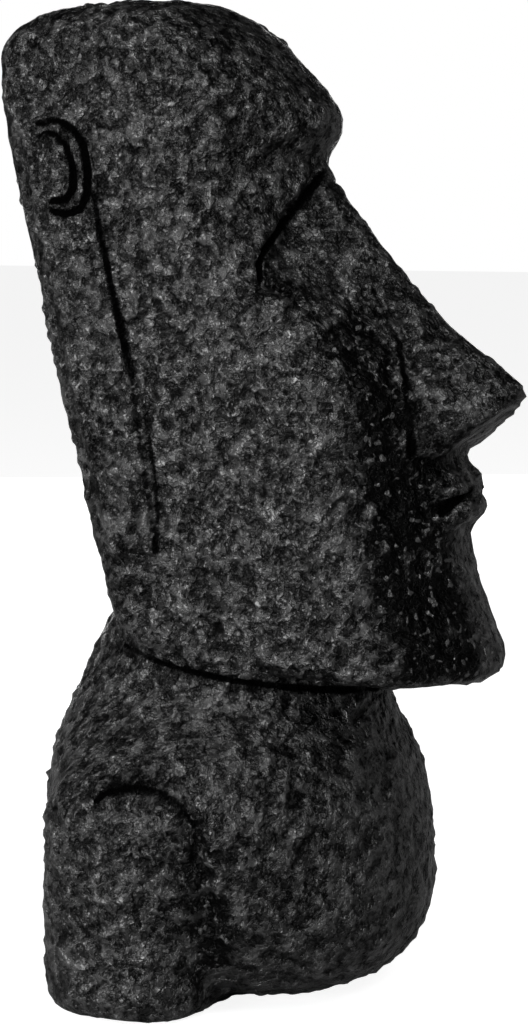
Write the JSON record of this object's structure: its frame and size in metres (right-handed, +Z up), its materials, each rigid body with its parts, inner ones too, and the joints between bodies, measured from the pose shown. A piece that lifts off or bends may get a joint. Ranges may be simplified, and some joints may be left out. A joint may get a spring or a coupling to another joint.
{
  "type": "moai head statue",
  "caption": "Free-standing stone bust of a long-faced moai with a jutting brow and nose, pursed lips, long ears, a short neck and a round chest with arm stubs.",
  "frame": {"origin": "centre of the bounding box in plan, on the underside", "axes": "+Z up, the face looks towards -Y, and the bust's own left side is on +X"},
  "size_m": [0.224, 0.2632, 0.5],
  "materials": {
    "moai_bust": "pecked all over, nearly black, satin"
  },
  "bodies": {
    "root": {"moai_bust": "moai_bust"}
  },
  "joints": []
}
